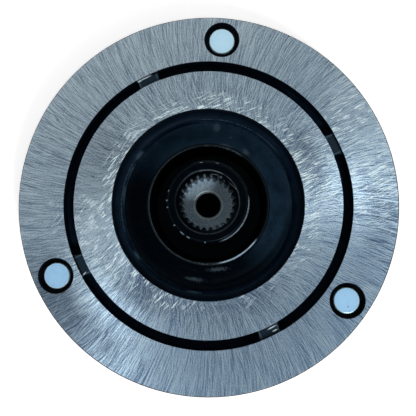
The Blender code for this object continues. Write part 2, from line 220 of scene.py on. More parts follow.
    def curve(self, value: Feed, corners: list[Pair]) -> Socket:
        """Look a value up on a smooth curve.

        Args:
            value: A number from 0 to 1.
            corners: Points that the curve runs through, with both numbers from 0 to 1.

        Returns:
            The height of the curve there.
        """
        result = self.node("ShaderNodeFloatCurve", {"Value": value})[0]
        mapping = result.node.mapping
        points = mapping.curves[0].points
        while len(points) < len(corners):
            points.new(0.5, 0.5)
        for point, corner in zip(points, corners):
            point.location = corner
        mapping.update()
        return result


class Group(Sheet):
    """Shader group in the making, whose first input is the place on the piece in metres."""

    def __init__(self, name: str, outputs: tuple[str, ...], **inputs: Feed) -> None:
        """Open the group.

        Args:
            name: Name of the group.
            outputs: Names of the numbers that it puts out.
            inputs: Names and default values of its other inputs. Three numbers make a vector.
        """
        super().__init__(bpy.data.node_groups.new(name, "ShaderNodeTree"))
        for label, value in ({"Position": (0.0, 0.0, 0.0)} | inputs).items():
            kind = "NodeSocketVector" if isinstance(value, tuple) else "NodeSocketFloat"
            socket = self.tree.interface.new_socket(label, in_out="INPUT", socket_type=kind)
            socket.default_value = value
        for label in outputs:
            self.tree.interface.new_socket(label, in_out="OUTPUT", socket_type="NodeSocketFloat")
        self.given = self.node("NodeGroupInput")
        self.locate(self.given["Position"])

    def sized(self, name: str) -> Socket:
        """Place on the piece, measured in the size that an input gives."""
        return self.scale(self.point, self.over(1.0, self.given[name]))

    def give(self, *values: Socket) -> bpy.types.NodeTree:
        """Put out the group's numbers in order, and hand over its tree."""
        self.node("NodeGroupOutput", values)
        return self.tree


class Effects:
    """Shader groups that the finishes share, each made once."""

    @functools.cache
    def polar(self) -> bpy.types.NodeTree:
        """Radius, height and azimuth of a point round the shaft axis.

        Returns:
            The group, which puts out the three.
        """
        group = Group("polar_position", ("Radius", "Height", "Azimuth"))
        x, y, z = group.split(group.point)
        radius = group.length(group.join(x, y, 0.0))
        return group.give(radius, z, group.math("DEGREES", group.math("ARCTAN2", y, x)))

    @functools.cache
    def grinding(self, lean: tuple[Pair, ...], reach: Pair) -> bpy.types.NodeTree:
        """Long fine streaks left by a grinding wheel that crossed the turning plate.

        Args:
            lean: Pairs of a radius and the streak's lean from the radius there.
            reach: Smallest and largest radius of the ground face.

        Returns:
            The group, which puts out the streaks as a value from 0 to 1, and the azimuth that they
            follow in radians.
        """
        inputs = {"Pitch": 0.2, "Length": 10.0, "Lean": 0.0, "Seed": 0.0}
        group = Group("grinding_streaks", ("Streaks", "Turned"), **inputs)
        x, y, _ = group.split(group.point)
        radius = group.length(group.join(x, y, 0.0))
        swings = streak_swings(lean, reach)
        largest = max(abs(swing) for _, swing in swings)
        corners = [(where, 0.5 + 0.5 * swing / largest) for where, swing in swings]
        swing = group.curve(group.share(radius, *reach), corners)
        swing = group.times(group.minus(swing, 0.5), 2.0 * largest)
        slope = group.math("TANGENT", group.math("RADIANS", group.given["Lean"]))
        turn = group.plus(swing, group.times(slope, group.math("LOGARITHM", radius, math.e)))
        cosine, sine = group.math("COSINE", turn), group.math("SINE", turn)
        along = group.plus(group.times(x, cosine), group.times(y, sine))
        across = group.minus(group.times(y, cosine), group.times(x, sine))
        cell = group.over(group.over(STREAK_RADIUS, group.given["Pitch"]), radius)
        layer = group.plus(group.over(radius, group.given["Length"]), group.given["Seed"])
        place = group.join(group.times(along, cell), group.times(across, cell), layer)
        return group.give(group.noise(place, 1.0, 1.0, 0.5), group.math("ARCTAN2", across, along))

    @functools.cache
    def grooves(self, lean: tuple[Pair, ...], reach: Pair) -> bpy.types.NodeTree:
        """Even fine grooves that follow the grinding streaks, shifted and broken by noise.

        Args:
            lean: Pairs of a radius and the lean from the radius there.
            reach: Smallest and largest radius of the ground face.

        Returns:
            The group, which puts out the grooves as a value from 0 to 1.
        """
        group = Group("fine_grooves", ("Grooves",), Count=420.0, Jitter=26.0, Lean=0.0, Seed=0.0)
        given = group.given
        follow = {name: given[name] for name in ("Lean", "Seed")}
        shift = group.effect(self.grinding(lean, reach), Pitch=1.6, Length=14.0, **follow)
        fade = group.effect(self.grinding(lean, reach), Pitch=0.55, Length=6.0, **follow)["Streaks"]
        phase = group.total((shift["Turned"], given["Count"]), (shift["Streaks"], given["Jitter"]))
        wave = group.times(group.math("SINE", phase), group.ramp(fade, 0.38, 0.62))
        return group.give(group.math("MULTIPLY_ADD", wave, 0.5, 0.5))

    @functools.cache
    def scratches(self) -> bpy.types.NodeTree:
        """Thin stray scratches in one direction, broken along their length.

        Returns:
            The group, which puts out their mask.
        """
        inputs = {"Angle": 0.0, "Spacing": 3.0, "Length": 20.0, "Width": 0.02, "Bow": 0.02}
        group = Group("stray_scratches", ("Scratches",), **inputs)
        given = group.given
        x, y, _ = group.split(group.rotated(group.point, given["Angle"]))
        bowed = group.plus(x, group.times(y, y, given["Bow"]))
        along = group.over(y, given["Length"])
        place = group.join(group.over(bowed, given["Spacing"]), along, given["Angle"])
        near = group.off(group.noise(place, 1.0, 0.0), 0.5)
        broken = group.ramp(group.noise(place, 2.3, 1.0, 0.5), 0.5, 0.6)
        return group.give(group.times(group.ramp(near, 0.0, given["Width"], 1.0, 0.0), broken))

    @functools.cache
    def dashes(self) -> bpy.types.NodeTree:
        """Short straight scratches in one direction, scattered over the face.

        Returns:
            The group, which puts out their mask.
        """
        group = Group("short_dashes", ("Dashes",), Angle=0.0, Pitch=0.3, Length=2.0, Rare=0.62)
        given = group.given
        x, y, _ = group.split(group.rotated(group.point, group.times(given["Angle"], -1.0)))
        place = group.join(group.over(x, given["Length"]), group.over(y, given["Pitch"]), given["Angle"])
        wave = group.noise(place, 1.0, 0.0)
        return group.give(group.ramp(wave, given["Rare"], group.plus(given["Rare"], 0.05)))

    @functools.cache
    def film(self) -> bpy.types.NodeTree:
        """Patchy film of dust and dried water, with fine specks in it.

        Returns:
            The group, which puts out the two masks.
        """
        group = Group("dust_film", ("Film", "Specks"), Patch=6.0, Speck=0.5, Cover=0.5)
        patches = group.noise(group.sized("Patch"), 1.0, 4.0, 0.6)
        threshold = group.minus(1.0, group.given["Cover"])
        film = group.ramp(patches, group.minus(threshold, 0.2), group.plus(threshold, 0.2))
        cells = group.node("ShaderNodeTexVoronoi", {"Vector": group.sized("Speck"), "Scale": 1.0})
        grains = group.ramp(cells["Distance"], 0.12, 0.3, 1.0, 0.0)
        rare = group.ramp(group.noise(group.point, 0.9, 1.0, 0.5), 0.52, 0.62)
        return group.give(film, group.times(grains, rare))

    @functools.cache
    def mark(self) -> bpy.types.NodeTree:
        """One soft-edged oval mark at a place on the surface, broken up by noise.

        Returns:
            The group, which puts out its mask.
        """
        inputs = {"Centre": (0.0, 0.0, 0.0), "Long": 2.0, "Short": 1.0, "Angle": 0.0, "Break": 0.4}
        group = Group("surface_mark", ("Mark",), **inputs)
        given = group.given
        turned_place = group.rotated(group.point, group.times(given["Angle"], -1.0), given["Centre"])
        offset = group.node("ShaderNodeVectorMath", (turned_place, given["Centre"]), operation="SUBTRACT")[0]
        x, y, _ = group.split(offset)
        spread = group.length(group.join(group.over(x, given["Long"]), group.over(y, given["Short"]), 0.0))
        ragged = group.times(group.minus(group.noise(group.point, 2.2, 3.0, 0.6), 0.5), given["Break"])
        return group.give(group.ramp(group.plus(spread, ragged), 0.35, 1.0, 1.0, 0.0))

    @functools.cache
    def ripple(self) -> bpy.types.NodeTree:
        """Slight ripple of a sprayed or dipped coat."""
        group = Group("coat_ripple", ("Height",), Size=0.8)
        return group.give(group.noise(group.sized("Size"), 1.0, 2.0, 0.5))


def streak_swings(lean: tuple[Pair, ...], reach: Pair, steps: int = 10, fine: int = 40) -> list[Pair]:
    """Add up a streak's lean into how far it swings round the axis.

    Args:
        lean: Pairs of a radius and the lean from the radius there.
        reach: Smallest and largest radius.
        steps: How many points the result has, less one.
        fine: How many parts of each step are added up.

    Returns:
        Pairs of a share of the reach and a swing in radians, which is 0 at the smallest radius.
    """
    part = (reach[1] - reach[0]) / (steps * fine)
    swings = [(0.0, 0.0)]
    swing = 0.0
    for index in range(steps * fine):
        radius = reach[0] + part * (index + 0.5)
        angle = lean[-1][1]
        for (low, low_lean), (high, high_lean) in zip(lean, lean[1:]):
            if low <= radius <= high:
                angle = low_lean + (high_lean - low_lean) * (radius - low) / (high - low)
        swing += math.tan(math.radians(angle)) / radius * part
        if (index + 1) % fine == 0:
            swings.append(((index + 1) / (steps * fine), swing))
    return swings


EFFECTS = Effects()


class Skin(Sheet):
    """Material in the making, with its Principled shader and the place on the piece."""

    def __init__(self, name: str) -> None:
        """Open the material.

        Args:
            name: Name of the material.
        """
        self.material = bpy.data.materials.new(name)
        self.material.use_nodes = True
        super().__init__(self.material.node_tree)
        self.shader = self.tree.nodes["Principled BSDF"]
        self.locate(self.node("ShaderNodeTexCoord")["Object"])
        self.radius, self.height, self.azimuth = self.effect(EFFECTS.polar())
        self.x, self.y, _ = self.split(self.point)

    @functools.cached_property
    def speckle(self) -> Socket:
        """Noise that breaks up the arcs, the painted highlights on the rims among them."""
        return self.noise(self.point, 1.4, 2.0, 0.7)

    def swing(self, middle: float, half: float = 180.0) -> Socket:
        """Turn from a middle azimuth, which starts again at half on either side."""
        return self.math("WRAP", self.minus(self.azimuth, middle), half, -half)

    def aside(self, middle: float, half: float = 180.0) -> Socket:
        """Turn from a middle azimuth without its sign."""
        return self.math("ABSOLUTE", self.swing(middle, half))

    def masks(self, spots: "tuple[Mark | Arc, ...]") -> Socket:
        """Join the masks of several marks and arcs."""
        return self.either(*(spot.mask(self) for spot in spots))

    def show(self, **looks: Feed) -> None:
        """Feed the Principled shader's inputs by name, with _ for a space."""
        for name, value in looks.items():
            self.feed(self.shader.inputs[name.replace("_", " ")], value)

    def relief(self, height: Socket, depth: float = 1.0) -> None:
        """Raise the surface by a height times a depth."""
        inputs = {"Strength": 1.0, "Distance": depth * MM, "Height": height}
        self.show(Normal=self.node("ShaderNodeBump", inputs)[0])


@dataclass(frozen=True)
class Mark:
    """One oval mark on a surface: centre, half sizes and turn."""

    centre: Triple
    long: float
    short: float
    angle: float = 0.0
    ragged: float = 0.6

    def mask(self, skin: Skin) -> Socket:
        """Place the mark in a material and hand over its mask."""
        sizes = {"Long": self.long, "Short": self.short, "Angle": self.angle, "Break": self.ragged}
        return skin.effect(EFFECTS.mark(), Centre=self.centre, **sizes)[0]


@dataclass(frozen=True)
class Arc:
    """Line round the axis for lighter marks, painted highlights and painted shade: radii, lowest level,
    middle azimuth and turn to each side.
    """

    inner: float
    outer: float
    level: float
    middle: float = 0.0
    half_turn: float = 181.0
    strength: float = 1.0
    ragged: float = 0.5
    fade: float = 0.3

    def mask(self, skin: Skin) -> Socket:
        """Place the line in a material.

        Args:
            skin: Material in the making.

        Returns:
            The mask of the line.
        """
        across = skin.band(skin.radius, self.inner, self.outer, (self.outer - self.inner) / 3.0)
        above = skin.ramp(skin.height, self.level - 0.2, self.level)
        full_turn = (1.0 - self.fade) * self.half_turn
        near = skin.ramp(skin.aside(self.middle), full_turn, self.half_turn, 1.0, 0.0)
        broken = skin.ramp(skin.speckle, 0.38, 0.58, 1.0 - self.ragged, 1.0)
        return skin.times(across, above, near, broken, self.strength)


@dataclass(frozen=True)
class Finish:
    """Surface of one kind of piece."""

    name: str

    def paint(self, skin: Skin) -> None:
        """Lay the finish in its material, each kind of finish in its own way."""
        raise NotImplementedError

    def material(self) -> bpy.types.Material:
        """Build the material.

        Returns:
            The finished material.
        """
        skin = Skin(self.name)
        self.paint(skin)
        return skin.material


@dataclass(frozen=True)
class GroundSteel(Finish):
    """Ground friction face with dark coated walls, bridges and counterbores, and painted light and shade on
    the steel.
    """

    name: str = "ground_steel_face"
    steel: Colour = (0.70, 0.90, 1.0)
    warm: Colour = (1.02, 0.98, 0.98)
    cool: Colour = (0.91, 0.95, 1.02)
    deep: Colour = (0.14, 0.23, 0.35)
    # Tint of the painted shade arcs, which dim the highlight lobes.
    painted_shade_tint: Colour = (0.40, 0.42, 0.45)
    line: Colour = (0.76, 0.93, 1.0)
    speck: Colour = (0.03, 0.04, 0.05)
    coat: Colour = (0.0016, 0.0040, 0.0075)
    bridge: Colour = (0.009, 0.022, 0.036)
    bridge_end: Colour = (0.05, 0.085, 0.11)
    bridge_angle: float = 25.6
    bridge_half_length: float = 2.75
    bridge_floor: Pair = (36.95, 39.45)
    bridge_level: Pair = (13.2, 13.42)
    face_edge: Pair = (14.41, 14.47)
    reach: Pair = (26.0, 52.0)
    lean: tuple[Pair, ...] = (
        (26.0, 38.0), (28.6, 31.0), (31.3, 12.0), (34.3, 5.0),
        (42.2, -5.0), (45.0, -6.0), (48.0, -8.0), (52.0, -13.0),
    )
    streak_pitch: float = 0.20
    streak_length: float = 9.0
    streak_seed: float = 11.0
    streak_depth: float = 0.012
    line_pitch: float = 1.1
    line_length: float = 22.0
    line_width: float = 0.010
    groove_change: Pair = (33.0, 43.0)
    groove_depth: float = 0.008
    dash_pitch: float = 0.235
    dash_length: float = 4.2
    dash_rare: float = 0.635
    dash_depth: float = 0.01
    # Near-white colour of the dashes, a painted glint on real scratches.
    dash_glint_colour: Colour = (0.80, 0.97, 1.0)
    dash_angles: tuple[Pair, ...] = ((18.0, 30.0), (42.0, 53.0))
    dash_corner: Pair = (6.0, -6.0)
    patch_scale: float = 0.45
    patch_edge: Pair = (0.41, 0.51)
    scored_radius: Pair = (28.8, 32.5)
    # Where the key lamp's highlight lobes fall; dashes there are painted glints.
    highlight_lobe_angle: float = 18.0
    highlight_lobe_turn: Pair = (12.0, 34.0)
    highlight_lobe_share: float = 0.85
    calm_radius: Pair = (30.0, 44.0)
    calm_spread: Pair = (0.11, 0.14)
    bore_radius: Pair = (28.0, 34.0)
    coat_roughness: float = 0.4
    roughness: float = 0.72
    polish: float = 0.40
    inner_grooves: tuple[Triple, ...] = ((270.0, 4.0, 41.0), (290.0, -16.0, 43.0))
    outer_grooves: tuple[Triple, ...] = ((420.0, 0.0, 47.0), (440.0, 12.0, 49.0))
    bright_lines: tuple[Pair, ...] = ((53.0, 0.0), (59.0, 14.0), (61.0, -9.0))
    dark_lines: tuple[Pair, ...] = ((67.0, 4.0), (71.0, -15.0))
    stray_lines: tuple[Triple, ...] = (
        (28.0, 6.0, 0.02), (74.0, 8.0, -0.02), (121.0, 7.0, 0.015), (163.0, 9.0, 0.01),
    )
    # Arcs where the painted glint dashes are left out.
    quiet_arcs: tuple[Arc, ...] = (
        Arc(20.0, 60.0, 14.0, 292.0, 44.0, 0.7, 0.0), Arc(40.0, 60.0, 14.0, 190.0, 36.0, 1.0, 0.0),
    )
    # Arcs of painted highlight on the steel.
    painted_highlight_arcs: tuple[Arc, ...] = (
        Arc(22.0, 36.0, 14.0, -14.0, 40.0, 0.30, 0.0), Arc(22.0, 38.0, 14.0, 192.0, 36.0, 0.6, 0.0),
        Arc(41.0, 60.0, 14.0, 24.0, 24.0, 0.3, 0.0),
    )
    # Arcs of painted shade that dim the steel where the highlight lobes fall.
    painted_shade_arcs: tuple[Arc, ...] = (
        Arc(20.0, 36.0, 14.0, 21.0, 30.0, 0.85, 0.0, 0.9),
        Arc(20.0, 37.0, 14.0, 225.0, 34.0, 0.85, 0.0, 0.9),
        Arc(22.0, 40.0, 14.0, 158.0, 34.0, 0.4, 0.0, 0.9),
        Arc(40.0, 60.0, 14.0, 217.0, 30.0, 0.97, 0.0, 0.8),
        Arc(40.0, 60.0, 14.0, -4.0, 30.0, 0.6, 0.0, 0.9),
    )
    # Bright strips on the bridges, painted glints where the pockets' walls meet their floors.
    bridge_glint_marks: tuple[Mark, ...] = (
        Mark((-17.5, 35.2, 13.3), 2.5, 0.24, 26.0, 0.3), Mark((-19.0, 34.4, 13.3), 0.9, 0.34, 28.0, 0.3),
        Mark((17.3, -33.4, 13.3), 1.7, 0.24, 28.0, 0.3), Mark((18.1, -34.2, 13.3), 1.0, 0.28, 27.0, 0.3),
        Mark((-33.8, -18.9, 13.3), 0.8, 0.17, 50.0, 0.2),
    )
    specks: tuple[Mark, ...] = (
        Mark((-2.8, 28.9, 14.5), 0.75, 0.16, 80.0), Mark((4.6, 31.1, 14.5), 0.6, 0.14, 75.0),
        Mark((-31.4, 7.7, 14.5), 0.3, 0.25), Mark((-17.2, 24.3, 14.5), 0.3, 0.2),
        Mark((22.4, 46.6, 14.5), 0.5, 0.35, 65.0), Mark((-38.6, 15.9, 14.5), 0.25, 0.15),
        Mark((30.5, -12.2, 14.5), 0.35, 0.12, 20.0),
    )

    def streaks(self, skin: Skin, **inputs: float) -> Socket:
        """Lay one family of grinding streaks."""
        return skin.effect(EFFECTS.grinding(self.lean, self.reach), **inputs)["Streaks"]

    def grooves(self, skin: Skin) -> Socket:
        """Lay the even grooves.

        Args:
            skin: Material in the making.

        Returns:
            The inner grooves near the bore, which give way to the outer ones.
        """
        group = EFFECTS.grooves(self.lean, self.reach)
        inner, outer = (
            skin.total(*(
                (skin.effect(group, Count=count, Lean=lean, Seed=seed)[0], 0.5)
                for count, lean, seed in family
            ))
            for family in (self.inner_grooves, self.outer_grooves)
        )
        return skin.mix(skin.ramp(skin.radius, *self.groove_change), inner, outer)

    def lines(self, skin: Skin, family: tuple[Pair, ...]) -> Socket:
        """Lay single thin lines.

        Args:
            skin: Material in the making.
            family: A seed and a lean for each layer of lines.

        Returns:
            The mask of the lines.
        """
        sizes = {"Pitch": self.line_pitch, "Length": self.line_length}
        layers = [self.streaks(skin, Lean=lean, Seed=seed, **sizes) for seed, lean in family]
        near = [skin.off(layer, 0.5) for layer in layers]
        return skin.either(*(skin.ramp(away, 0.0, self.line_width, 1.0, 0.0) for away in near))

    def dashes(self, skin: Skin) -> Socket:
        """Scatter short scratches near the bore and in the two opposite highlight lobes of the key lamp,
        where their colour is a painted glint.

        Args:
            skin: Material in the making.

        Returns:
            The mask of the scratches.
        """
        patches = skin.ramp(skin.noise(skin.point, self.patch_scale, 1.0, 0.5), *self.patch_edge)
        near_bore = skin.times(skin.ramp(skin.radius, *self.scored_radius, 1.0, 0.0), patches)
        highlight_lobe = skin.ramp(skin.aside(self.highlight_lobe_angle, 90.0), *self.highlight_lobe_turn, 1.0, 0.0)
        scored = skin.either(near_bore, skin.times(highlight_lobe, patches, self.highlight_lobe_share))
        scored = skin.times(scored, skin.minus(1.0, skin.masks(self.quiet_arcs)))
        sizes = {"Pitch": self.dash_pitch, "Length": self.dash_length, "Rare": self.dash_rare}
        upper, lower = (
            skin.either(*(skin.effect(EFFECTS.dashes(), Angle=angle, **sizes)[0] for angle in angles))
            for angles in self.dash_angles
        )
        corner = skin.share(skin.plus(skin.x, skin.y), *self.dash_corner)
        return skin.times(scored, skin.mix(corner, upper, lower))

    def bare_face(self, skin: Skin, tone: Socket) -> Socket:
        """Colour the bare steel, with painted light and shade: lighter away from the key lamp and in the
        painted highlight arcs, darker near the bore at the bottom and in the painted shade arcs, tinted warm
        to cool along the lamp's axis.

        Args:
            skin: Material in the making.
            tone: Brightness of the ground surface, about 0.5 on average.

        Returns:
            Its colour, without scratches and specks.
        """
        aslant = skin.total((skin.x, 0.5), (skin.y, -0.87))
        # Painted light: the steel is lighter on the side away from the key lamp.
        far = skin.share(aslant, 0.0, -50.0)
        near_bore = skin.ramp(skin.radius, *self.bore_radius, 1.0, 0.0)
        # Painted shade: the steel is darker near the bore at the bottom.
        painted_shade_near_bore = skin.times(near_bore, skin.share(skin.y, -5.0, -30.0))
        calm = skin.ramp(skin.radius, *self.calm_radius, *self.calm_spread)
        contrast = skin.over(skin.minus(tone, 0.5), calm)
        # Painted highlight: the steel is brighter in the listed arcs.
        painted_highlight = skin.masks(self.painted_highlight_arcs)
        contrast = skin.total((contrast, 1.0), (far, 0.5), (painted_shade_near_bore, -0.5), (painted_highlight, 1.0))
        steel = skin.tint(skin.share(contrast, -1.0, 1.0), self.deep, self.steel)
        # Painted light: the tint runs from warm to cool along the key lamp's axis.
        side = skin.tint(skin.share(aslant, -45.0, 45.0), self.warm, self.cool)
        steel = skin.tint(1.0, steel, side, "MULTIPLY")
        # Painted shade: the steel is darker in the listed arcs, over the highlight lobes.
        return skin.tint(skin.masks(self.painted_shade_arcs), steel, self.painted_shade_tint, "MULTIPLY")

    def coated(self, skin: Skin) -> tuple[Socket, Socket]:
        """Colour the coated walls and sunk bridges.

        Args:
            skin: Material in the making.

        Returns:
            Their colour, and the mask of the painted glint strips on the bridges.
        """
        along = skin.times(skin.math("RADIANS", skin.aside(self.bridge_angle, 45.0)), skin.radius)
        end = skin.band(along, self.bridge_half_length - 0.42, self.bridge_half_length + 0.1, 0.2)
        on_bridge = skin.band(skin.height, *self.bridge_level, 0.05)
        across = skin.band(skin.radius, *self.bridge_floor, 0.45)
        floor = skin.tint(end, self.bridge, self.bridge_end)
        coat = skin.tint(skin.times(on_bridge, across), self.coat, floor)
        # Painted glint: bright strips on the bridges stand for the light caught where the pockets' walls
        # meet their floors.
        bridge_glint = skin.times(on_bridge, skin.masks(self.bridge_glint_marks))
        return skin.tint(bridge_glint, coat, self.line), bridge_glint

    def paint(self, skin: Skin) -> None:
        """Lay the ground face with its marks, and the coat beside it.

        Args:
            skin: Material in the making.
        """
        sizes = {"Pitch": self.streak_pitch, "Length": self.streak_length}
        streaks = self.streaks(skin, Seed=self.streak_seed, **sizes)
        grooves = self.grooves(skin)
        grain = skin.noise(skin.point, 3.6, 1.0, 0.6)
        bright, dark = (self.lines(skin, family) for family in (self.bright_lines, self.dark_lines))
        tone = skin.total((streaks, 0.40), (grooves, 0.28), (grain, 0.32), (bright, 0.05), (dark, -0.03))
        steel = self.bare_face(skin, tone)
        sizes = {"Length": 80.0, "Width": 0.005}
        strays = skin.either(*(
            skin.effect(EFFECTS.scratches(), Angle=angle, Spacing=spacing, Bow=bow, **sizes)[0]
            for angle, spacing, bow in self.stray_lines
        ))
        steel = skin.tint(skin.times(strays, 0.3), steel, self.line)
        dashes = self.dashes(skin)
        # Painted glint: the scratches are real, but their near-white colour stands in for the light they
        # catch.
        steel = skin.tint(skin.times(dashes, 0.95), steel, self.dash_glint_colour)
        specks = skin.masks(self.specks)
        steel = skin.tint(skin.times(specks, 0.85), steel, self.speck)
        coat, bridge_glint = self.coated(skin)
        face = skin.ramp(skin.height, *self.face_edge)
        # Part of the painted glint: the dashes carry less metal, so their near-white colour shows under any
        # light.
        metal = skin.minus(face, skin.times(dashes, 0.8))
        polished = skin.either(skin.ramp(tone, 0.45, 0.66), dashes)
        worn = skin.total((1.0, self.roughness), (polished, -self.polish), (specks, 0.2))
        skin.show(
            Base_Color=skin.tint(face, coat, steel),
            Metallic=skin.either(metal, skin.times(bridge_glint, 0.4)),
            Roughness=skin.mix(face, self.coat_roughness, worn),
            Specular_IOR_Level=0.12,
            Anisotropic=0.92,
        )
        depths = (self.streak_depth, self.groove_depth, -self.dash_depth)
        relief = skin.total(*zip((streaks, grooves, dashes), depths))
        skin.relief(skin.times(relief, face))


@dataclass(frozen=True)
class BlackCoat(Finish):
    """Dipped black coat with a ripple, settled dust and marks in the dust colour, which on the cup's rim are
    painted highlights.
    """

    coat: Colour
    dust: Colour
    roughness: float
    specular: float
    marks: tuple[Mark | Arc, ...]
    dust_share: float = 0.12
    sheen_tint: Colour = (0.55, 0.78, 1.0)
    ripple_size: float = 0.7
    ripple_depth: float = 0.010

    def paint(self, skin: Skin) -> None:
        """Lay the coat, its dust, its marks and its ripple.

        Args:
            skin: Material in the making.
        """
        film = skin.effect(EFFECTS.film(), Patch=5.0, Speck=0.45, Cover=0.45)
        haze = skin.times(film["Film"], self.dust_share)
        specks = skin.times(film["Specks"], 2.5 * self.dust_share)
        # The marks join the dust; on the cup they are painted highlights along the rim.
        dusty = skin.math("MINIMUM", skin.either(haze, specks, skin.masks(self.marks)), 1.0)
        skin.show(
            Base_Color=skin.tint(dusty, self.coat, self.dust),
            Roughness=skin.total((1.0, self.roughness), (dusty, 0.35)),
            Specular_IOR_Level=self.specular,
            Specular_Tint=self.sheen_tint,
        )
        skin.relief(skin.effect(EFFECTS.ripple(), Size=self.ripple_size)[0], self.ripple_depth)


@dataclass(frozen=True)
class PlatedRivet(Finish):
    """Dull pale plating with fine scuffs; the rivet at the top is painted lighter and less metallic, as
    painted light.
    """

    name: str = "pale_plated_rivet"
    plating: Colour = (0.40, 0.70, 1.0)
    scuffed: Colour = (0.31, 0.60, 0.90)
    # Colour of the rivet at the top, painted light.
    top_rivet_painted_light: Colour = (0.56, 0.84, 1.0)
    edge: Colour = (0.66, 0.92, 1.0)
    pit: Colour = (0.06, 0.10, 0.14)
    metallic: Pair = (0.27, 0.1)
    roughness: float = 0.42
    scuff_angles: Pair = (40.0, 95.0)
    circle: float = 45.8
    first_angle: float = 85.2
    edge_radius: Pair = (3.25, 3.4)
    pits: tuple[Mark, ...] = (Mark((37.95, -27.85, 13.15), 0.28, 0.24),)

    def paint(self, skin: Skin) -> None:
        """Lay the plating, its scuffs and the rounded edge of each head.

        Args:
            skin: Material in the making.
        """
        film = skin.effect(EFFECTS.film(), Patch=1.6, Speck=0.5, Cover=0.4)["Film"]
        scuffs = skin.either(*(
            skin.effect(EFFECTS.scratches(), Angle=angle, Spacing=1.2, Length=5.0, Width=0.02)[0]
            for angle in self.scuff_angles
        ))
        colour = skin.tint(skin.either(skin.times(film, 0.8), scuffs), self.plating, self.scuffed)
        # Painted light: the rivet at the top gets a lighter colour and less metal.
        upper = skin.ramp(skin.y, 0.0, 10.0)
        grain = skin.ramp(skin.noise(skin.point, 2.4, 2.0, 0.6), 0.35, 0.65, 0.7, 1.0)
        colour = skin.tint(skin.times(upper, grain), colour, self.top_rivet_painted_light)
        turn = skin.math("RADIANS", skin.swing(self.first_angle, 60.0))
        forward = skin.times(skin.radius, skin.math("COSINE", turn))
        sideways = skin.times(skin.radius, skin.math("SINE", turn))
        away = skin.length(skin.join(skin.minus(forward, self.circle), sideways, 0.0))
        worn = skin.ramp(away, *self.edge_radius)
        colour = skin.tint(worn, colour, self.edge)
        skin.show(
            Base_Color=skin.tint(skin.masks(self.pits), colour, self.pit),
            Metallic=skin.either(skin.mix(upper, *self.metallic), skin.times(worn, 0.7)),
            Roughness=skin.total((1.0, self.roughness), (film, 0.1), (worn, -0.2)),
        )
        rounded = skin.past(away, self.edge_radius[0])
        skin.relief(skin.total((scuffs, -0.006), (skin.times(rounded, rounded), -1.1)))


@dataclass(frozen=True)
class DamperRubber(Finish):
    """Black moulded rubber under a grey dust haze that is lighter towards one side, a painted reflection."""

    name: str = "damper_rubber"
    rubber: Colour = (0.0004, 0.0014, 0.0030)
    # Colour of the haze, which is dust and, towards one side, a painted reflection.
    haze: Colour = (0.018, 0.052, 0.094)
    chalk: Colour = (0.075, 0.110, 0.140)
    sheen_tint: Colour = (0.45, 0.75, 1.0)
    # Side and spread of the painted reflection.
    reflection_centre: float = 52.0
    reflection_turn: Pair = (68.0, 116.0)
    roughness: float = 0.30
    marks: tuple[Mark, ...] = (
        Mark((2.4, 22.2, 8.5), 1.7, 1.3, 80.0, 1.3), Mark((4.8, 16.5, 12.0), 2.4, 0.6, -15.0, 1.2),
        Mark((10.6, 14.8, 12.0), 1.6, 1.1, -40.0, 1.8), Mark((2.6, -17.8, 12.0), 3.0, 0.7, 5.0, 3.2),
        Mark((-4.0, -20.6, 9.0), 3.0, 0.7, -10.0, 3.4), Mark((6.4, 19.2, 9.5), 0.5, 0.4),
    )

    def paint(self, skin: Skin) -> None:
        """Lay the rubber, its haze with the painted reflection on one side, and its chalky marks.

        Args:
            skin: Material in the making.
        """
        # Painted reflection: the haze is laid only towards one side, where the rubber is lighter; its film
        # and grit are dust.
        side = skin.ramp(skin.aside(self.reflection_centre), *self.reflection_turn, 1.0, 0.0)
        film = skin.effect(EFFECTS.film(), Patch=4.0, Speck=0.4, Cover=0.6)
        grit = skin.ramp(skin.noise(skin.point, 3.4, 2.0, 0.7), 0.36, 0.66, 0.72, 1.4)
        haze = skin.times(side, skin.total((1.0, 0.17), (film["Film"], 0.22)), grit)
        haze = skin.math("MINIMUM", skin.total((haze, 1.0), (film["Specks"], 0.5)), 1.0)
        chalk = skin.masks(self.marks)
        colour = skin.tint(haze, self.rubber, self.haze)
        skin.show(
            Base_Color=skin.tint(skin.times(chalk, 0.42), colour, self.chalk),
            Roughness=skin.total((1.0, self.roughness), (haze, 0.6), (chalk, 0.2)),
            Specular_IOR_Level=0.22,
            Specular_Tint=self.sheen_tint,
        )
        ripple = skin.effect(EFFECTS.ripple(), Size=1.6)[0]
        skin.relief(skin.total((ripple, 1.0), (film["Film"], 0.3)), 0.02)


